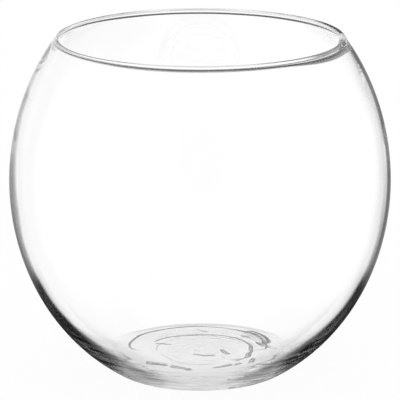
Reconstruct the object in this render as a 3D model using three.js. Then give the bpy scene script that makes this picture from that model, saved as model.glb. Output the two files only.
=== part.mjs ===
// A clear glass bubble vase: one blown body of revolution, standing on a ring foot.
// Millimetres, +Z up. The origin is the centre of the resting plane.
import * as THREE from 'three';

// Outside form. The foot is measured where the round wall would meet the
// resting plane without the rounded heel.
const bellyDiameter = 180;
const bellyHeight = 90;
const height = 160;
const mouthDiameter = 133.2;
const footDiameter = 84.8;
const heelRadius = 3;

// Glass thickness. The wall is measured level, and thickens toward the floor
// faster the higher the gather.
const wallAtBelly = 3.3;
const wallAtMouth = 1.8;
const wallAtFloor = 8;
const gather = 5;
const floorThickness = 4.6;
const floorCrown = 0.25;
const floorCornerRise = 0.8;
const floorCornerRun = 1.8;

// Fire-polished lip, a bead that stands proud of both faces of the wall
const lipBulge = 0.3;

// Underside: the ring that bears, the shelf pressed up inside it, and the step
// where the mould's baffle pressed the middle higher
const bearingWidth = 2;
const kickStep = 0.5;
const kickStepRun = 1;
const kickShelf = 12.1;
const baffleStep = 0.4;
const baffleStepRun = 0.9;
const domeRise = 0.2;

// How finely the curves are cut, and how often the heel's start is narrowed down
const turns = 64;
const wallSteps = 9;
const roundSteps = 4;
const lipSteps = 3;
const capSteps = 3;
const halvings = 50;

const glass = new THREE.MeshStandardMaterial({
  name: 'clear_glass',
  color: 0xeef3f1,
  roughness: 0.03,
  metalness: 0,
  transparent: true,
  opacity: 0.35,
});

const belly = new THREE.Vector2(0, bellyHeight);
const outerBelly = bellyDiameter / 2;
const innerBelly = outerBelly - wallAtBelly;
const outerDrop = halfAxis(outerBelly, footDiameter / 2, bellyHeight);

// Vertical half-axis of the quarter ellipse that leaves the belly upright and
// passes through a point at the given radius, reach above or below the belly.
function halfAxis(bellyRadius, radius, reach) {
  return reach / Math.sqrt(1 - (radius / bellyRadius) ** 2);
}

// Part of an ellipse or a circle, in whichever direction the angles run.
function arc(centre, xRadius, yRadius, from, to, steps) {
  return new THREE.EllipseCurve(
    centre.x, centre.y, xRadius, yRadius, from, to, to < from,
  ).getPoints(steps);
}

// A curve that leaves the start and reaches the end along the lines to the corner.
function bend(start, corner, end, steps) {
  return new THREE.QuadraticBezierCurve(start, corner, end).getPoints(steps);
}

// A shallow cap that runs level into the axis.
function cap(edge, topHeight) {
  const shoulder = new THREE.Vector2(edge.x / 2, topHeight);
  return bend(edge, shoulder, new THREE.Vector2(0, topHeight), capSteps);
}

// Lip: the bead's centre lies on the middle of the wall, and the two faces of
// the wall run into the bead where the bead is as wide as the wall.
function lipOf() {
  const beadRadius = wallAtMouth / 2 + lipBulge;
  const centre = new THREE.Vector2(mouthDiameter / 2, height - beadRadius);
  const middleBelly = outerBelly - wallAtBelly / 2;
  const rise = halfAxis(middleBelly, centre.x, centre.y - bellyHeight);
  const angle = Math.acos(centre.x / middleBelly);
  const along = new THREE.Vector2(
    -middleBelly * Math.sin(angle), rise * Math.cos(angle),
  ).normalize();
  const across = new THREE.Vector2(along.y, -along.x);
  const neck = Math.sqrt(beadRadius ** 2 - (wallAtMouth / 2) ** 2);
  const face = (side) => centre.clone()
    .addScaledVector(along, -neck)
    .addScaledVector(across, side * wallAtMouth / 2);
  return { beadRadius, centre, outer: face(1), inner: face(-1) };
}

// The heel's round touches the resting plane and the outer wall: its centre,
// and the wall's ellipse angle where it starts, found by halving.
function heelOf() {
  const roundAt = (angle) => {
    const out = new THREE.Vector2(Math.cos(angle) / outerBelly, Math.sin(angle) / outerDrop);
    out.normalize();
    const wall = new THREE.Vector2(
      outerBelly * Math.cos(angle), bellyHeight + outerDrop * Math.sin(angle),
    );
    return { angle, out, centre: wall.addScaledVector(out, -heelRadius) };
  };
  let high = 0;
  let low = -Math.PI / 2;
  for (let halving = 0; halving < halvings; halving++) {
    const middle = (high + low) / 2;
    if (roundAt(middle).centre.y > heelRadius) high = middle;
    else low = middle;
  }
  return roundAt(high);
}

// From the axis out to the bearing ring.
function underside(heel) {
  const kickRadius = heel.centre.x - bearingWidth;
  const shelfRadius = kickRadius - kickStepRun;
  const baffleRadius = shelfRadius - kickShelf;
  const hollow = new THREE.Vector2(baffleRadius - baffleStepRun, kickStep + baffleStep);
  return [
    ...cap(hollow, hollow.y + domeRise).reverse(),
    new THREE.Vector2(baffleRadius, kickStep),
    new THREE.Vector2(shelfRadius, kickStep),
    new THREE.Vector2(kickRadius, 0),
  ];
}

function outerWall(heel, lip) {
  const rise = halfAxis(outerBelly, lip.outer.x, lip.outer.y - bellyHeight);
  const heelEnd = Math.atan2(heel.out.y, heel.out.x);
  return [
    ...arc(heel.centre, heelRadius, heelRadius, -Math.PI / 2, heelEnd, roundSteps),
    ...arc(belly, outerBelly, outerDrop, heel.angle, 0, wallSteps),
    ...arc(belly, outerBelly, rise, 0, Math.acos(lip.outer.x / outerBelly), wallSteps),
  ];
}

function lipBead(lip) {
  const { beadRadius, centre } = lip;
  const top = Math.PI / 2;
  const from = Math.atan2(lip.outer.y - centre.y, lip.outer.x - centre.x);
  const to = lip.inner.clone().sub(centre).angle();
  return [
    ...arc(centre, beadRadius, beadRadius, from, top, lipSteps),
    ...arc(centre, beadRadius, beadRadius, top, to, lipSteps),
  ];
}

// A point of the inner face, between the belly and the floor.
function innerFace(z) {
  const drop = bellyHeight - z;
  const outer = outerBelly * Math.sqrt(1 - (drop / outerDrop) ** 2);
  const share = drop / (bellyHeight - floorThickness);
  const wall = wallAtBelly + (wallAtFloor - wallAtBelly) * share ** gather;
  return new THREE.Vector2(outer - wall, z);
}

function innerWall(lip) {
  const rise = halfAxis(innerBelly, lip.inner.x, lip.inner.y - bellyHeight);
  const reach = bellyHeight - floorThickness - floorCornerRise;
  const lower = [];
  for (let step = 0; step <= wallSteps; step++) {
    lower.push(innerFace(bellyHeight - reach * Math.sin(step / wallSteps * Math.PI / 2)));
  }
  const corner = innerFace(floorThickness);
  const floorEdge = new THREE.Vector2(corner.x - floorCornerRun, floorThickness);
  return [
    ...arc(belly, innerBelly, rise, Math.acos(lip.inner.x / innerBelly), 0, wallSteps),
    ...lower,
    ...bend(lower[wallSteps], corner, floorEdge, roundSteps),
    ...cap(floorEdge, floorThickness + floorCrown),
  ];
}

// The closed half-section, from the axis under the vase, up the outside, over
// the lip and down the inside to the axis again.
function halfSection() {
  const lip = lipOf();
  const heel = heelOf();
  const points = [
    ...underside(heel),
    ...outerWall(heel, lip),
    ...lipBead(lip),
    ...innerWall(lip),
  ];
  const sameSpot = 1e-6;
  return points.filter((point, i) => !i || point.distanceTo(points[i - 1]) > sameSpot);
}

const body = new THREE.Mesh(new THREE.LatheGeometry(halfSection(), turns), glass);
body.name = 'vase_body';
body.rotation.x = Math.PI / 2;

const vase = new THREE.Group();
vase.add(body);

export default vase;
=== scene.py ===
import math

import bmesh
import bpy
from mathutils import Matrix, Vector, noise


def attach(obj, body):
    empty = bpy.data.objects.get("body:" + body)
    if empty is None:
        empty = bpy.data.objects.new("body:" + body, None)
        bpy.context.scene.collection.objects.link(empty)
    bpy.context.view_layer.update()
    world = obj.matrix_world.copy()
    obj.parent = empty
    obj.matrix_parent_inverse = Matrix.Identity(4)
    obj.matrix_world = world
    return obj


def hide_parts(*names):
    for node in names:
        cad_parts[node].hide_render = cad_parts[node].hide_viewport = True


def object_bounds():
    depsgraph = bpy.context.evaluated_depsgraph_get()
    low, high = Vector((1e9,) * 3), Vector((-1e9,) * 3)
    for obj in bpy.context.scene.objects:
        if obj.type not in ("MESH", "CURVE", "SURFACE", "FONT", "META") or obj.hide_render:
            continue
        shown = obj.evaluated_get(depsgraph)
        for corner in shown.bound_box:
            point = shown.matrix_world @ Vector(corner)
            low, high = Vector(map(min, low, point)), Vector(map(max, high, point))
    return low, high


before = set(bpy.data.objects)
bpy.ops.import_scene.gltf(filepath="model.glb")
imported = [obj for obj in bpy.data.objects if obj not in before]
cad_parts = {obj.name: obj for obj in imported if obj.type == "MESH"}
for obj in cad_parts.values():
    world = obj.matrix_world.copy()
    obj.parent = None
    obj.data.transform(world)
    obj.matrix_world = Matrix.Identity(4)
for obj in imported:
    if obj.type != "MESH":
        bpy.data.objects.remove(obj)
cadLow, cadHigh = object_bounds()
scene = bpy.context.scene
scene.view_settings.view_transform = "Standard"
bounces = 128       # light runs a long way inside the lip and the base
scene.cycles.max_bounces = bounces
scene.cycles.glossy_bounces = bounces
scene.cycles.transmission_bounces = bounces
print("frame loaded:", sorted(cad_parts))


# Shader maths: a Wire is one socket, and plain Python operators on it add Math nodes
class Wire:
    def __init__(self, sheet, socket):
        self.sheet = sheet
        self.socket = socket

    def calc(self, operation, *values):
        return self.sheet.add("ShaderNodeMath", {"operation": operation}, dict(enumerate(values)))

    def __add__(self, other):
        return self.calc("ADD", self, other)

    def __radd__(self, other):
        return self.calc("ADD", other, self)

    def __sub__(self, other):
        return self.calc("SUBTRACT", self, other)

    def __rsub__(self, other):
        return self.calc("SUBTRACT", other, self)

    def __mul__(self, other):
        return self.calc("MULTIPLY", self, other)

    def __rmul__(self, other):
        return self.calc("MULTIPLY", other, self)

    def __neg__(self):
        return self.calc("MULTIPLY", self, -1.0)

    def __abs__(self):
        return self.calc("ABSOLUTE", self)

    def atLeast(self, low):
        return self.calc("MAXIMUM", self, low)


class NodeSheet:
    def __init__(self, tree):
        self.tree = tree
        tree.nodes.clear()

    # settings go on first, then each socket takes a value or a Wire
    def add(self, kind, settings=None, sockets=None, out=0):
        node = self.tree.nodes.new(kind)
        for name, value in (settings or {}).items():
            if name == "stops":
                self.setStops(node.color_ramp, value)
            else:
                setattr(node, name, value)
        for name, value in (sockets or {}).items():
            if isinstance(value, Wire):
                self.tree.links.new(value.socket, node.inputs[name])
            else:
                node.inputs[name].default_value = value
        return Wire(self, node.outputs[out]) if node.outputs else node

    def setStops(self, ramp, stops):
        while len(ramp.elements) < len(stops):
            ramp.elements.new(1.0)
        for element, (place, grey) in zip(ramp.elements, stops):
            element.position = place
            element.color = (grey, grey, grey, 1.0)


def smoothStep(value, low, high):
    return value.sheet.add(
        "ShaderNodeMapRange",
        {"interpolation_type": "SMOOTHSTEP"},
        {"Value": value, "From Min": low, "From Max": high},
    )


# rises over the first span and falls again over the second
def between(value, rise, fall):
    return smoothStep(value, *rise) * (1 - smoothStep(value, *fall))


def blend(share, low, high):
    return low + share * (high - low)


def dot(direction, axis):
    return direction.sheet.add(
        "ShaderNodeVectorMath", {"operation": "DOT_PRODUCT"}, {0: direction, 1: axis}, "Value"
    )


# The same steps and blends on plain numbers, for shaping the mesh
def ease(value, low, high):
    share = min(1.0, max(0.0, (value - low) / (high - low)))
    return share * share * (3 - 2 * share)


def mix(low, high, share):
    return low + (high - low) * share


# 1 from angle to angle, in degrees, dying away beyond both
def window(angle, span, soft):
    middle, half = (span[0] + span[1]) / 2, (span[1] - span[0]) / 2
    away = abs((angle - middle + 180) % 360 - 180)
    return 1 - ease(away, half, half + soft)


def bell(value, middle, width):
    return math.exp(-(((value - middle) / width) ** 2))


# distance from the upright axis
def radiusOf(place):
    return math.hypot(place.x, place.y)


# degrees round that axis from +X, and -90 is the front
def angleOf(place):
    return math.degrees(math.atan2(place.y, place.x))


def spread(start, end, gap):
    count = max(1, round(abs(end - start) / gap))
    return [start + (end - start) * i / count for i in range(count + 1)]


def arcPoints(centre, radii, start, end, steps):
    angles = [start + (end - start) * i / steps for i in range(steps + 1)]
    return [
        Vector((centre[0] + radii[0] * math.cos(a), centre[1] + radii[1] * math.sin(a)))
        for a in angles
    ]


# leaves the start and reaches the end along the lines to the corner
def bendPoints(start, corner, end, steps):
    shares = [i / steps for i in range(steps + 1)]
    return [
        start * (1 - s) ** 2 + corner * 2 * s * (1 - s) + end * s ** 2
        for s in shares
    ]


# half-height of the ellipse that leaves the belly upright and is at the radius after the reach
def halfAxis(bellyRadius, radius, reach):
    return reach / math.sqrt(1 - (radius / bellyRadius) ** 2)


# Vase: the half-section is worked out in metres, then spun about the upright axis
vase = {
    "mouthRadius": 0.0666,      # to the middle of the lip
    "bellyHeight": 0.090,
    "footRadius": 0.0424,       # where the round wall would meet the table
    "heelRadius": 0.003,
    "wallAtBelly": 0.0033,
    "wallAtMouth": 0.0018,
    "wallAtFloor": 0.008,       # measured level
    "gather": 5,                # how late the wall thickens on the way down
    "floorThickness": 0.0046,
    "floorCrown": 0.00025,
    "cornerRise": 0.0008,       # of the round between wall and floor
    "cornerRun": 0.0018,
    "lipBulge": 0.00025,        # how far the lip's bead stands proud of the wall
    "bearingWidth": 0.002,      # of the ring that the vase stands on
    "kickStep": 0.0005,         # up from that ring to the shelf
    "kickStepRun": 0.001,
    "kickShelf": 0.0121,
    "baffleStep": 0.0004,       # up from the shelf to the hollow in the middle
    "baffleStepRun": 0.0015,
    "gentleRun": 0.020,         # of both steps where they came out soft
    "domeRise": 0.0002,
    "turns": 192,
    "wallSteps": 32,
    "lowSteps": 72,             # down the lower half of the inner wall
    "lipSteps": 14,
    "roundSteps": 10,
    "stepSteps": 8,
    "bearingSteps": 4,
    "baseGap": 0.0004,          # between the rings of the base
    "halvings": 50,             # to find where the heel's round starts
    "sameSpot": 1e-7,
}


class HalfSection:
    def __init__(self, sizes, bellyRadius, height):
        self.v = sizes
        self.outer = bellyRadius
        self.inner = bellyRadius - sizes["wallAtBelly"]
        self.height = height
        self.belly = (0.0, sizes["bellyHeight"])
        self.drop = halfAxis(bellyRadius, sizes["footRadius"], sizes["bellyHeight"])
        self.setLip()
        self.setHeel()
        self.setBase()

    # the wall's two faces run into the bead where it is as wide as the wall
    def setLip(self):
        v = self.v
        self.bead = v["wallAtMouth"] / 2 + v["lipBulge"]
        self.lipCentre = Vector((v["mouthRadius"], self.height - self.bead))
        middle = self.outer - v["wallAtBelly"] / 2
        rise = halfAxis(middle, v["mouthRadius"], self.lipCentre.y - v["bellyHeight"])
        angle = math.acos(v["mouthRadius"] / middle)
        along = Vector((-middle * math.sin(angle), rise * math.cos(angle))).normalized()
        across = Vector((along.y, -along.x)) * v["wallAtMouth"] / 2
        neck = along * math.sqrt(self.bead ** 2 - (v["wallAtMouth"] / 2) ** 2)
        self.lipOuter = self.lipCentre - neck + across
        self.lipInner = self.lipCentre - neck - across

    # the heel's round touches the table and the outer wall
    def setHeel(self):
        radius = self.v["heelRadius"]
        bellyHeight = self.v["bellyHeight"]
        high, low = 0.0, -math.pi / 2
        for halving in range(self.v["halvings"]):
            angle = (high + low) / 2
            cosine, sine = math.cos(angle), math.sin(angle)
            out = Vector((cosine / self.outer, sine / self.drop)).normalized()
            centre = Vector((self.outer * cosine, bellyHeight + self.drop * sine)) - out * radius
            if centre.y > radius:
                high = angle
            else:
                low = angle
        self.heelAngle = angle
        self.heelCentre = centre
        self.heelEnd = math.atan2(out.y, out.x)

    # radii of the rings under the base, and of the inner floor's edge
    def setBase(self):
        v = self.v
        self.kick = self.heelCentre.x - v["bearingWidth"]
        self.shelf = self.kick - v["kickStepRun"]
        self.baffle = self.shelf - v["kickShelf"]
        self.hollow = self.baffle - v["baffleStepRun"]
        self.corner = self.innerFace(v["floorThickness"])
        self.floorEdge = self.corner.x - v["cornerRun"]

    def innerFace(self, z):
        v = self.v
        drop = v["bellyHeight"] - z
        outer = self.outer * math.sqrt(1 - (drop / self.drop) ** 2)
        share = drop / (v["bellyHeight"] - v["floorThickness"])
        return Vector((outer - mix(v["wallAtBelly"], v["wallAtFloor"], share ** v["gather"]), z))

    # the shelf runs in gently, and the step inside it is steep where it came out sharp
    def underHeight(self, radius, sharp=1.0, lift=1.0):
        v = self.v
        kick = ease(radius, self.shelf - v["gentleRun"], self.kick)
        gentle = ease(radius, self.hollow - v["gentleRun"], self.baffle)
        baffle = mix(gentle, ease(radius, self.hollow, self.baffle), sharp)
        dome = max(0.0, 1 - (radius / self.hollow) ** 2)
        steps = v["kickStep"] * (1 - kick) + v["baffleStep"] * lift * (1 - baffle)
        return steps + v["domeRise"] * dome

    def floorHeight(self, radius):
        crown = 1 - (radius / self.floorEdge) ** 2
        return self.v["floorThickness"] + self.v["floorCrown"] * crown

    def underside(self):
        v = self.v
        radii = (
            spread(0, self.hollow, v["baseGap"])
            + spread(self.hollow, self.baffle, v["baffleStepRun"] / v["stepSteps"])
            + spread(self.baffle, self.shelf, v["baseGap"])
            + spread(self.shelf, self.kick, v["kickStepRun"] / v["stepSteps"])
            + spread(self.kick, self.heelCentre.x, v["bearingWidth"] / v["bearingSteps"])
        )
        return [Vector((radius, self.underHeight(radius))) for radius in radii]

    def outside(self):
        v = self.v
        heel = (v["heelRadius"], v["heelRadius"])
        rise = halfAxis(self.outer, self.lipOuter.x, self.lipOuter.y - v["bellyHeight"])
        lipAngle = math.acos(self.lipOuter.x / self.outer)
        return (
            arcPoints(self.heelCentre, heel, -math.pi / 2, self.heelEnd, v["roundSteps"])
            + arcPoints(self.belly, (self.outer, self.drop), self.heelAngle, 0, v["wallSteps"])
            + arcPoints(self.belly, (self.outer, rise), 0, lipAngle, v["wallSteps"])
        )

    def lip(self):
        start = self.lipOuter - self.lipCentre
        end = self.lipInner - self.lipCentre
        startAngle = math.atan2(start.y, start.x)
        endAngle = math.atan2(end.y, end.x) % (2 * math.pi)
        radii = (self.bead, self.bead)
        return arcPoints(self.lipCentre, radii, startAngle, endAngle, self.v["lipSteps"])

    def inside(self):
        v = self.v
        rise = halfAxis(self.inner, self.lipInner.x, self.lipInner.y - v["bellyHeight"])
        lipAngle = math.acos(self.lipInner.x / self.inner)
        reach = v["bellyHeight"] - v["floorThickness"] - v["cornerRise"]
        angles = [math.pi / 2 * i / v["lowSteps"] for i in range(v["lowSteps"] + 1)]
        lower = [self.innerFace(v["bellyHeight"] - reach * math.sin(a)) for a in angles]
        edge = Vector((self.floorEdge, v["floorThickness"]))
        floorRadii = spread(self.floorEdge, 0, v["baseGap"])
        return (
            arcPoints(self.belly, (self.inner, rise), lipAngle, 0, v["wallSteps"])
            + lower
            + bendPoints(lower[-1], self.corner, edge, v["roundSteps"])
            + [Vector((radius, self.floorHeight(radius))) for radius in floorRadii]
        )

    def points(self):
        every = self.underside() + self.outside() + self.lip() + self.inside()
        kept = every[:1]
        for point in every[1:]:
            if (point - kept[-1]).length > self.v["sameSpot"]:
                kept.append(point)
        return kept


# Blown glass is never quite even: slow waves in both faces of the wall, long ripples low in it,
# and wrinkles round the base. Waves and cells are in metres.
unevenness = {
    "outerWave": 0.00008,
    "outerCell": 0.032,
    "outerSeed": 5.0,
    "innerWave": 0.00012,
    "innerCell": 0.024,
    "innerSeed": 11.0,
    "gatherWave": 0.00008,      # the ripples
    "gatherAlong": 0.03,
    "gatherAcross": 0.0017,
    "gatherHeight": 0.04,
    "calmBelow": 0.02,          # the waves die away over this height below the lip
    "lipWave": 0.00005,
    "lipCell": 0.02,
    "lipSeed": 23.0,
    "wrinkle": 0.00006,
    "wrinkleAlong": 0.014,      # how long a wrinkle runs round the base
    "wrinkleAcross": 0.0018,
    "wrinkleFrom": 0.08,        # noise level at which a wrinkle starts
    "wrinkleTo": 0.45,
    "underSeed": 3.7,
    "floorSeed": 41.3,
    "floorShare": 0.5,          # the floor's wrinkles are lower
}

# The press marks of the base: where the underside's inner step came out sharp, from angle to angle,
# the oval edge that the plunger left in the floor, and short folds of both, from point to point
pressMarks = {
    "baffleSharp": (-30, 136),
    "sharpSoft": 22,            # degrees over which the sharp stretch dies away
    "hook": (-32, 24),          # where that step is at its highest
    "hookShare": 0.7,
    "wrinkleFade": 0.002,       # wrinkles die away this far from the step
    "floorRing": (0.0347, 0.0384),
    "floorRingOff": -0.0012,    # its centre, along X
    "floorStep": 0.00032,
    "floorStepRun": (0.0011, 0.0026),   # at the sides and at the back
    "floorStepSharp": (-5, 185),
    "floorStepGentle": 8,       # times wider at the front
    "floorStepWander": 0.6,     # share by which the width comes and goes
    "wanderCell": 0.012,
    "wanderSeed": 61.0,
    "blister": (14, 40),
    "blisterHeight": 0.0006,    # a ridge along part of that edge
    "blisterRun": (0.010, 0.003),   # its inner and outer slopes
    "markSoft": 12,             # degrees over which edge and ridge die away
    "floorFade": 0.0008,        # all marks die away this far from the wall
    "foldHeight": 0.0003,
    "foldWidth": 0.0010,
    "folds": [
        ((-0.0255, -0.021), (-0.0165, -0.0235)), ((-0.0135, -0.0255), (-0.005, -0.028)),
        ((0.007, -0.0265), (0.015, -0.0235)), ((0.0175, -0.0235), (0.0195, -0.022)),
        ((0.0245, -0.021), (0.026, -0.018)), ((-0.0025, -0.007), (0.002, -0.011)),
        ((0.002, -0.011), (0.0065, -0.010)), ((0.0105, -0.002), (0.014, -0.008)),
        ((-0.021, 0.008), (-0.015, 0.007)), ((-0.001, 0.0345), (0.0025, 0.030)),
        ((0.0252, 0.003), (0.0252, -0.006)), ((0.0252, -0.006), (0.0222, -0.0125)),
    ],
    "floorFolds": [((0.0335, -0.001), (0.0395, -0.008)), ((0.029, 0.006), (0.0315, 0.0005))],
}

# The lip: a knot where the polishing flame closed it, and a long sag beside that
lipKnot = {
    "angle": -7,                # degrees, as are the spreads
    "spread": 6,
    "swell": 0.0008,
    "sagAngle": -30,
    "sagSpread": 22,
    "sag": 0.0005,
    "sagSwell": 0.00025,
    "thin": 0.0003,             # the bead is slimmer at the left
    "thinSpan": (155, 215),
    "thinSoft": 40,
    "reach": 0.0036,            # from the bead's middle to where all of this has died away
}


def wave(place, cell, seed):
    return noise.noise(place / cell + Vector((seed, 0, 0)))


# broken rings that the cold mould leaves in the base
def wrinkle(place, seed):
    u = unevenness
    spot = Vector((
        place.x / u["wrinkleAlong"] + seed,
        place.y / u["wrinkleAlong"],
        radiusOf(place) / u["wrinkleAcross"],
    ))
    return u["wrinkle"] * ease(noise.noise(spot), u["wrinkleFrom"], u["wrinkleTo"])


# the highest of the straight ridges at a place
def foldLift(place, folds):
    m = pressMarks
    nearest = math.inf
    for ends in folds:
        start, end = map(Vector, ends)
        along = end - start
        spot = Vector((place.x, place.y)) - start
        share = min(1.0, max(0.0, spot.dot(along) / along.length_squared))
        nearest = min(nearest, (spot - along * share).length)
    return m["foldHeight"] * max(0.0, 1 - nearest / m["foldWidth"])


def pressUnderside(place, section):
    m = pressMarks
    radius, angle = radiusOf(place), angleOf(place)
    sharp = window(angle, m["baffleSharp"], m["sharpSoft"])
    nearStep = ease(radius, section.hollow / 2, section.hollow)
    lift = 1 + m["hookShare"] * window(angle, m["hook"], m["sharpSoft"]) * nearStep
    inner = 1 - ease(radius, section.hollow - m["wrinkleFade"], section.hollow)
    wrinkles = wrinkle(place, unevenness["underSeed"]) * inner
    return section.underHeight(radius, sharp, lift) + wrinkles + foldLift(place, m["folds"])


def pressFloor(place, section):
    m = pressMarks
    u = unevenness
    radius, angle = radiusOf(place), angleOf(place)
    off = Vector((place.x - m["floorRingOff"], place.y))
    share = math.hypot(off.x / m["floorRing"][0], off.y / m["floorRing"][1])
    beyond = off.length * (1 - 1 / share) if share > 0 else -m["floorRing"][0]
    run = mix(*m["floorStepRun"], abs(math.sin(math.radians(angle))))
    run *= 1 + m["floorStepWander"] * wave(place, m["wanderCell"], m["wanderSeed"])
    run *= mix(m["floorStepGentle"], 1, window(angle, m["floorStepSharp"], m["markSoft"]))
    sunk = m["floorStep"] * (1 - ease(beyond, -run, 0))
    inSlope, outSlope = m["blisterRun"]
    ridge = ease(beyond, -inSlope, 0) - ease(beyond, 0, outSlope)
    blister = m["blisterHeight"] * ridge * window(angle, m["blister"], m["markSoft"])
    wrinkles = u["floorShare"] * wrinkle(place, u["floorSeed"])
    fade = 1 - ease(radius, section.floorEdge - m["floorFade"], section.floorEdge)
    return (wrinkles + blister + foldLift(place, m["floorFolds"]) - sunk) * fade


def swellLip(place, section):
    k = lipKnot
    u = unevenness
    radius, angle = radiusOf(place), angleOf(place)
    off = Vector((radius, place.z)) - section.lipCentre
    knot = k["swell"] * bell(angle, k["angle"], k["spread"])
    sag = bell(angle, k["sagAngle"], k["sagSpread"])
    thin = k["thin"] * window(angle, k["thinSpan"], k["thinSoft"])
    ripple = u["lipWave"] * wave(place, u["lipCell"], u["lipSeed"])
    grow = knot + k["sagSwell"] * sag - thin + ripple
    fade = 1 - ease(off.length, section.bead, k["reach"])
    moved = section.lipCentre + off * (1 + grow * fade / off.length)
    moved.y -= k["sag"] * sag * fade
    outward = Vector((place.x, place.y, 0)) / radius
    return outward * moved.x + Vector((0, 0, min(moved.y, section.height)))


def wallWave(place, isInside):
    u = unevenness
    if not isInside:            # only ever inward, so the belly keeps within its size
        return u["outerWave"] * (wave(place, u["outerCell"], u["outerSeed"]) - 1) / 2
    slow = u["innerWave"] * wave(place, u["innerCell"], u["innerSeed"])
    low = 1 - ease(place.z, u["gatherHeight"] / 2, u["gatherHeight"])
    spot = Vector((
        place.x / u["gatherAlong"],
        place.y / u["gatherAlong"],
        place.z / u["gatherAcross"],
    ))
    return slow + low * u["gatherWave"] * noise.noise(spot)


def makeUneven(bm, section):
    thick = vase["floorThickness"]
    lipZone = 2 * lipKnot["reach"]
    for vert in bm.verts:
        place = vert.co.copy()
        radius = radiusOf(place)
        belowTop = section.height - place.z
        if radius < section.heelCentre.x and place.z < thick / 2:
            vert.co.z = pressUnderside(place, section)
        elif radius < section.floorEdge and place.z < 2 * thick:
            vert.co.z += pressFloor(place, section)
        elif belowTop < lipZone:
            vert.co = swellLip(place, section)
        elif place.z > thick:
            isInside = vert.normal.x * place.x + vert.normal.y * place.y < 0
            outward = Vector((place.x, place.y, 0)) / radius
            calm = ease(belowTop, lipZone, unevenness["calmBelow"])
            vert.co += outward * wallWave(place, isInside) * calm


def makeVase():
    section = HalfSection(vase, cadHigh.x, cadHigh.z)
    bm = bmesh.new()
    verts = [bm.verts.new((p.x, 0, p.y)) for p in section.points()]
    edges = [bm.edges.new(pair) for pair in zip(verts, verts[1:])]
    bmesh.ops.spin(
        bm, geom=verts + edges, cent=(0, 0, 0), axis=(0, 0, 1), dvec=(0, 0, 0),
        angle=2 * math.pi, steps=vase["turns"], use_merge=True,
    )
    bmesh.ops.remove_doubles(bm, verts=bm.verts, dist=vase["sameSpot"])
    bmesh.ops.recalc_face_normals(bm, faces=bm.faces)
    bm.normal_update()
    makeUneven(bm, section)
    for face in bm.faces:
        face.smooth = True
    mesh = bpy.data.meshes.new("glass_vase")
    bm.to_mesh(mesh)
    bm.free()
    piece = bpy.data.objects.new("glass_vase", mesh)
    scene.collection.objects.link(piece)
    return piece


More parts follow.
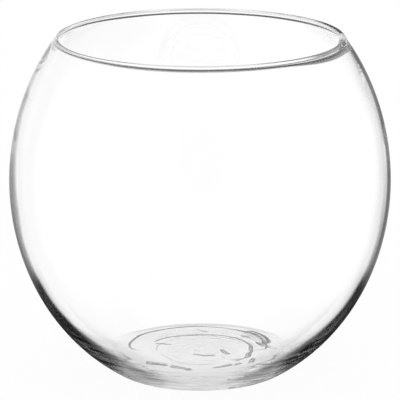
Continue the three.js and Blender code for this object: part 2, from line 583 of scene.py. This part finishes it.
# Glass: clear and colourless, with painted shade where the eye runs along the outer wall. A band of
# painted shade follows the edge, with a thinner painted line at the edge itself. The shares of
# light that they let through are given by height, and so is where the band starts. The right is the
# side toward +X. A pair of shades is for the left and the right, and any other pair gives the two
# ends of a soft change.
glass = {
    "index": 1.52,
    "roughness": 0.0,
    "outward": (0.002, 0.006),      # radius times the normal's outward part, tells the outer face
    "sideSoft": (-0.05, 0.05),      # from the left to the right
    "bandFrom": [                   # facing, where 1 is edge-on
        (0.0, 0.745), (0.006, 0.665), (0.013, 0.595), (0.020, 0.585), (0.026, 0.59),
        (0.030, 0.615), (0.0385, 0.665), (0.043, 0.675), (0.050, 0.685), (0.057, 0.705),
        (0.071, 0.715), (0.084, 0.695), (0.097, 0.71), (0.111, 0.72), (0.120, 0.735),
        (0.129, 0.755), (0.160, 0.755),
    ],
    "bandSoft": 0.07,
    "bandLeft": [
        (0.0, 1.0), (0.004, 0.9), (0.009, 0.34), (0.015, 0.07), (0.030, 0.02), (0.043, 0.05),
        (0.050, 0.03), (0.057, 0.1), (0.063, 0.2), (0.071, 0.22), (0.084, 0.25), (0.097, 0.27),
        (0.111, 0.55), (0.120, 0.55), (0.129, 0.5), (0.145, 0.5), (0.154, 0.7), (0.157, 1.0),
        (0.160, 1.0),
    ],
    "bandRight": [
        (0.0, 1.0), (0.004, 0.9), (0.009, 0.34), (0.015, 0.07), (0.030, 0.1), (0.043, 0.05),
        (0.050, 0.03), (0.057, 0.1), (0.063, 0.2), (0.071, 0.3), (0.084, 0.55), (0.097, 0.75),
        (0.111, 0.95), (0.129, 0.8), (0.145, 0.6), (0.152, 0.4), (0.155, 0.5), (0.157, 1.0),
        (0.160, 1.0),
    ],
    "edgeFrom": (0.83, 0.79),       # facing, left and right
    "edgeSoft": 0.04,
    "edgeLeft": [
        (0.0, 1.0), (0.004, 0.86), (0.010, 0.2), (0.015, 0.02), (0.063, 0.02), (0.071, 0.05),
        (0.084, 0.15), (0.097, 0.36), (0.111, 0.5), (0.129, 0.25), (0.145, 0.25), (0.154, 0.5),
        (0.157, 1.0), (0.160, 1.0),
    ],
    "edgeRight": [
        (0.0, 1.0), (0.004, 0.86), (0.010, 0.2), (0.015, 0.02), (0.097, 0.02), (0.111, 0.2),
        (0.129, 0.3), (0.148, 0.02), (0.154, 0.1), (0.157, 1.0), (0.160, 1.0),
    ],
    "shade": 0.1,                   # a faint painted shade leads into the band
    "shadeSoft": 0.13,
    "streakScale": (30, 30, 600),   # level streaks in the painted shade low in the band, cells per metre
    "streakDetail": 3.0,
    "streakRange": (0.4, 0.6),
    "streakFoot": (0.002, 0.005),
    "streakTop": (0.014, 0.030),
    "streakGain": 0.36,
    "streakBias": 0.7,              # noise level that leaves the band as it is
    "lipFrom": (0.1570, 0.1576),
    "lipUpward": (0.75, 0.9),       # a painted shade line along the lip's top, at its four quarters
    "lipSides": (0.02, 0.055),
    "lipEnds": (0.005, 0.012),
    "lipShade": (0.75, 0.6),
    "neckStart": (0.1573, 0.1578),  # and another painted shade line along its neck, at the front
    "neckEnd": (0.1578, 0.1582),
    "neckDroop": 0.0016,            # wider at the right
    "droopAcross": (0.035, 0.062),
    "neckRise": 0.0005,             # higher at the left
    "riseAcross": (0.02, 0.06),
    "neckFront": (-0.005, 0.012),
    "neckShade": (0.5, 0.75),
    # the colour of the painted shade that is mixed into the glass
    "paintedShade": (0.05, 0.05, 0.05, 1.0),
    "pressTilt": (0.0015, 0.013),   # painted shade on the slopes of the press marks, in a dark diffuse; 0 is level
    "pressEdge": (0.0384, 0.039),
    "pressTop": (0.006, 0.007),
    "pressShade": 0.7,
    "cornerAcross": (0.053, 0.060),
    "cornerBehind": (0.001, 0.008),     # and painted shade on the lip behind its knot
    "cornerUpward": (0.45, 0.7),
    "cornerShade": 0.9,
}


class GlassSheet(NodeSheet):
    # where a point of the glass is, and how its surface lies
    def __init__(self, tree):
        super().__init__(tree)
        self.place = self.add("ShaderNodeTexCoord", out="Object")
        normal = self.add("ShaderNodeTexCoord", out="Normal")
        self.across, self.deep, self.height = [self.part(self.place, axis) for axis in "XYZ"]
        self.upward = self.part(normal, "Z")
        level = self.scaled(self.place, (1, 1, 0))
        self.radius = self.add("ShaderNodeVectorMath", {"operation": "LENGTH"}, {0: level}, "Value")
        self.outside = smoothStep(dot(level, normal), *glass["outward"])
        self.right = smoothStep(self.across, *glass["sideSoft"])
        self.onLip = smoothStep(self.height, *glass["lipFrom"])

    def part(self, vector, axis):
        return self.add("ShaderNodeSeparateXYZ", {}, {0: vector}, axis)

    def scaled(self, vector, factors):
        return self.add("ShaderNodeVectorMath", {"operation": "MULTIPLY"}, {0: vector, 1: factors})

    def byHeight(self, stops):
        top = stops[-1][0]
        ramp = [(z / top, grey) for z, grey in stops]
        return self.add("ShaderNodeValToRGB", {"stops": ramp}, {0: self.height * (1 / top)})

    def bySide(self, left, right):
        return blend(self.right, left, right)

    def streaks(self):
        g = glass
        grain = self.add("ShaderNodeTexNoise", {}, {
            "Vector": self.scaled(self.place, g["streakScale"]),
            "Scale": 1.0,
            "Detail": g["streakDetail"],
        })
        low = between(self.height, g["streakFoot"], g["streakTop"])
        return g["streakGain"] * low * (smoothStep(grain, *g["streakRange"]) - g["streakBias"])

    # painted shade: the band and the line that darken the glass along the edge of the outer wall
    def edgeLight(self):
        g = glass
        facing = self.add("ShaderNodeLayerWeight", out="Facing")
        beyond = facing - self.byHeight(g["bandFrom"])
        inBand = smoothStep(beyond, 0, g["bandSoft"])
        atEdge = smoothStep(facing - self.bySide(*g["edgeFrom"]), 0, g["edgeSoft"])
        clear = 1 - g["shade"] * smoothStep(beyond, -g["shadeSoft"], 0)
        band = self.bySide(self.byHeight(g["bandLeft"]), self.byHeight(g["bandRight"]))
        edge = self.bySide(self.byHeight(g["edgeLeft"]), self.byHeight(g["edgeRight"]))
        light = blend(atEdge, blend(inBand, clear, band), edge) + inBand * self.streaks()
        return 1 - self.outside * (1 - light.atLeast(0.0))

    # painted shade along the lip's top
    def lipTopLight(self):
        g = glass
        onTop = self.onLip * smoothStep(self.upward, *g["lipUpward"])
        sides = smoothStep(abs(self.across), *g["lipSides"])
        ends = smoothStep(abs(self.deep), *g["lipEnds"])
        return 1 - onTop * sides * ends * self.bySide(*g["lipShade"])

    # painted shade along the front of the lip's neck
    def neckLight(self):
        g = glass
        droop = g["neckDroop"] * smoothStep(self.across, *g["droopAcross"])
        raised = self.height - g["neckRise"] * smoothStep(-self.across, *g["riseAcross"])
        started = smoothStep(raised + droop, *g["neckStart"])
        inNeck = started * (1 - smoothStep(raised, *g["neckEnd"]))
        inFront = self.outside * smoothStep(-self.deep, *g["neckFront"])
        return 1 - inNeck * inFront * self.bySide(*g["neckShade"])

    # painted shade on the slopes of the press marks
    def pressMarkShade(self):
        g = glass
        inner = 1 - smoothStep(self.radius, *g["pressEdge"])
        under = 1 - smoothStep(self.height, *g["pressTop"])
        return g["pressShade"] * inner * under * smoothStep(1 - abs(self.upward), *g["pressTilt"])

    # painted shade on the lip's top behind its knot
    def lipCornerShade(self):
        g = glass
        onTop = self.onLip * smoothStep(self.upward, *g["cornerUpward"])
        behind = smoothStep(self.deep, *g["cornerBehind"])
        return g["cornerShade"] * onTop * behind * smoothStep(self.across, *g["cornerAcross"])


def glassMaterial():
    material = bpy.data.materials.new("clearGlass")
    material.use_nodes = True
    sheet = GlassSheet(material.node_tree)
    light = sheet.edgeLight() * sheet.lipTopLight() * sheet.neckLight()
    light = light * light       # the shader takes the root of its colour at each face
    clear = sheet.add("ShaderNodeBsdfPrincipled", {}, {
        "Base Color": sheet.add("ShaderNodeCombineColor", {}, {0: light, 1: light, 2: light}),
        "Roughness": glass["roughness"],
        "IOR": glass["index"],
        "Transmission Weight": 1.0,
    })
    # a dark diffuse, mixed in where shade is painted on the press marks and the lip
    paintedShade = sheet.add("ShaderNodeBsdfDiffuse", {}, {"Color": glass["paintedShade"]})
    paintedShadeShare = sheet.pressMarkShade() + sheet.lipCornerShade()
    surface = sheet.add("ShaderNodeMixShader", {}, {0: paintedShadeShare, 1: clear, 2: paintedShade})
    sheet.add("ShaderNodeOutputMaterial", {}, {"Surface": surface})
    return material


glassVase = makeVase()
glassVase.data.materials.append(glassMaterial())
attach(glassVase, "root")
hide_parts("vase_body")
print("vase:", len(glassVase.data.polygons), "faces")


# Floor: pale, white to the camera, with the vase's own soft shadow left on it
floor = {
    "side": 6.0,
    "colour": (0.95, 0.95, 0.95, 1.0),
    "white": (1.0, 1.0, 1.0, 1.0),
    "whiteShare": 0.95,
}


def makeFloor():
    bm = bmesh.new()
    bmesh.ops.create_grid(bm, x_segments=1, y_segments=1, size=floor["side"] / 2)
    mesh = bpy.data.meshes.new("floor")
    bm.to_mesh(mesh)
    bm.free()
    plane = bpy.data.objects.new("floor", mesh)
    scene.collection.objects.link(plane)
    material = bpy.data.materials.new("paleFloor")
    material.use_nodes = True
    sheet = NodeSheet(material.node_tree)
    seen = sheet.add("ShaderNodeLightPath", out="Is Camera Ray")
    pale = sheet.add("ShaderNodeBsdfDiffuse", {}, {"Color": floor["colour"]})
    white = sheet.add("ShaderNodeEmission", {}, {"Color": floor["white"], "Strength": 1.0})
    mixed = sheet.add("ShaderNodeMixShader", {}, {0: seen * floor["whiteShare"], 1: pale, 2: white})
    sheet.add("ShaderNodeOutputMaterial", {}, {"Surface": mixed})
    mesh.materials.append(material)
    plane.visible_transmission = False      # the glass shows the studio's white there
    plane.visible_glossy = False
    return plane


makeFloor()
print("floor made")


# Camera: the photograph's view, from a little above the lip
view = {
    "distance": 1.150,          # eye to the point looked at
    "elevation": 15.51,         # degrees
    "aimHeight": 0.0806,
    "frameAcross": 400,         # pixels
    "focalLength": 2427,        # in the same pixels
}


def makeCamera():
    data = bpy.data.cameras.new("camera")
    data.sensor_fit = "HORIZONTAL"
    data.lens = data.sensor_width * view["focalLength"] / view["frameAcross"]
    eye = bpy.data.objects.new("camera", data)
    scene.collection.objects.link(eye)
    tilt = math.radians(view["elevation"])
    back = Vector((0, -math.cos(tilt), math.sin(tilt)))
    eye.location = Vector((0, 0, view["aimHeight"])) + back * view["distance"]
    eye.rotation_euler = (-back).to_track_quat("-Z", "Y").to_euler()
    scene.camera = eye


makeCamera()
print("camera set")


# Studio: white all round, with shades that show only through the glass and in its reflections. A
# dark flag hangs behind the vase and draws the lip, a table darkens what lies low behind it, and a
# wing dims the right. Pairs of angles are degrees off the photograph's line of sight.
studio = {
    "white": (1.0, 1.0, 1.0, 1.0),
    "flag": [                       # degrees above the line of sight, and how dark
        (14.5, 0.0), (15.5, 0.98), (28, 0.98), (30, 0.65),
        (31, 0.65), (33, 0.8), (48, 0.8), (57, 0.0),
    ],
    "flagEnd": (20, 30),            # to both sides
    "tableTop": (-22, -12),
    "tableBottom": (-53, -43),      # of its darker sides
    "tableShade": 0.3,              # right behind the vase
    "tableSide": 0.8,               # and to both sides of that
    "tableSideStart": (9, 14),
    "tableSideEnd": (22, 27),
    "wingStart": (10, 32),          # the white dims toward the right
    "wingEnd": (38, 46),
    "wingShade": 0.3,
    "ahead": (0, 0.1),              # no flag stands on the camera's side
    "gloss": (0.82, 0.93),          # reflections darken toward the line of sight
    "glossShade": 0.65,
    "leftSlope": 0.15,              # slope above which the left stays white
    "leftRise": (-0.02, 0.05),
    "leftEnd": (-0.1, 0.1),
    "glossWide": (0.66, 0.80),      # and they darken further out at the lower corners
    "cornerTop": 0.45,              # slopes of the lower corners' sides
    "cornerTopSoft": (-0.03, 0.05),
    "cornerBottom": 1.7,
    "cornerBottomSoft": (0, 0.12),
    "cornerShade": 0.96,
}


def sines(angles):
    return [math.sin(math.radians(angle)) for angle in angles]


def shadeThrough(forward, across, up):
    s = studio
    off = abs(across)
    angles, darks = zip(*s["flag"])
    ramp = [((rise + 1) / 2, dark) for rise, dark in zip(sines(angles), darks)]
    flag = up.sheet.add("ShaderNodeValToRGB", {"stops": ramp}, {0: up * 0.5 + 0.5})
    flag = flag * (1 - smoothStep(off, *sines(s["flagEnd"])))
    aside = smoothStep(off, *sines(s["tableSideStart"]))
    darker = smoothStep(up, *sines(s["tableBottom"])) * s["tableSide"]
    table = (1 - smoothStep(up, *sines(s["tableTop"]))) * blend(aside, s["tableShade"], darker)
    table = table * (1 - smoothStep(off, *sines(s["tableSideEnd"])))
    wing = s["wingShade"] * between(across, sines(s["wingStart"]), sines(s["wingEnd"]))
    return (flag + table + wing * (1 - flag - table)) * smoothStep(forward, *s["ahead"])


def shadeReflected(forward, across, up):
    s = studio
    off = abs(across)
    left = smoothStep(up - s["leftSlope"] * off, *s["leftRise"])
    left = left * (1 - smoothStep(across, *s["leftEnd"]))
    shade = s["glossShade"] * smoothStep(forward, *s["gloss"]) * (1 - left)
    corner = smoothStep(-up - s["cornerTop"] * off, *s["cornerTopSoft"])
    corner = corner * (1 - smoothStep(-up - s["cornerBottom"] * off, *s["cornerBottomSoft"]))
    return blend(corner * smoothStep(forward, *s["glossWide"]), shade, s["cornerShade"])


def makeStudio():
    world = bpy.data.worlds.new("studio")
    scene.world = world
    world.use_nodes = True
    sheet = NodeSheet(world.node_tree)
    direction = sheet.add("ShaderNodeTexCoord", out="Generated")
    fall = math.radians(view["elevation"])
    forward = dot(direction, (0, math.cos(fall), -math.sin(fall)))
    across = dot(direction, (1, 0, 0))
    up = dot(direction, (0, math.sin(fall), math.cos(fall)))
    through = sheet.add("ShaderNodeLightPath", out="Is Transmission Ray")
    glossy = sheet.add("ShaderNodeLightPath", out="Is Glossy Ray") * (1 - through)
    strength = (
        1
        - through * shadeThrough(forward, across, up)
        - glossy * shadeReflected(forward, across, up)
    )
    background = sheet.add(
        "ShaderNodeBackground", {}, {"Color": studio["white"], "Strength": strength}
    )
    sheet.add("ShaderNodeOutputWorld", {}, {"Surface": background})


makeStudio()
print("studio made")
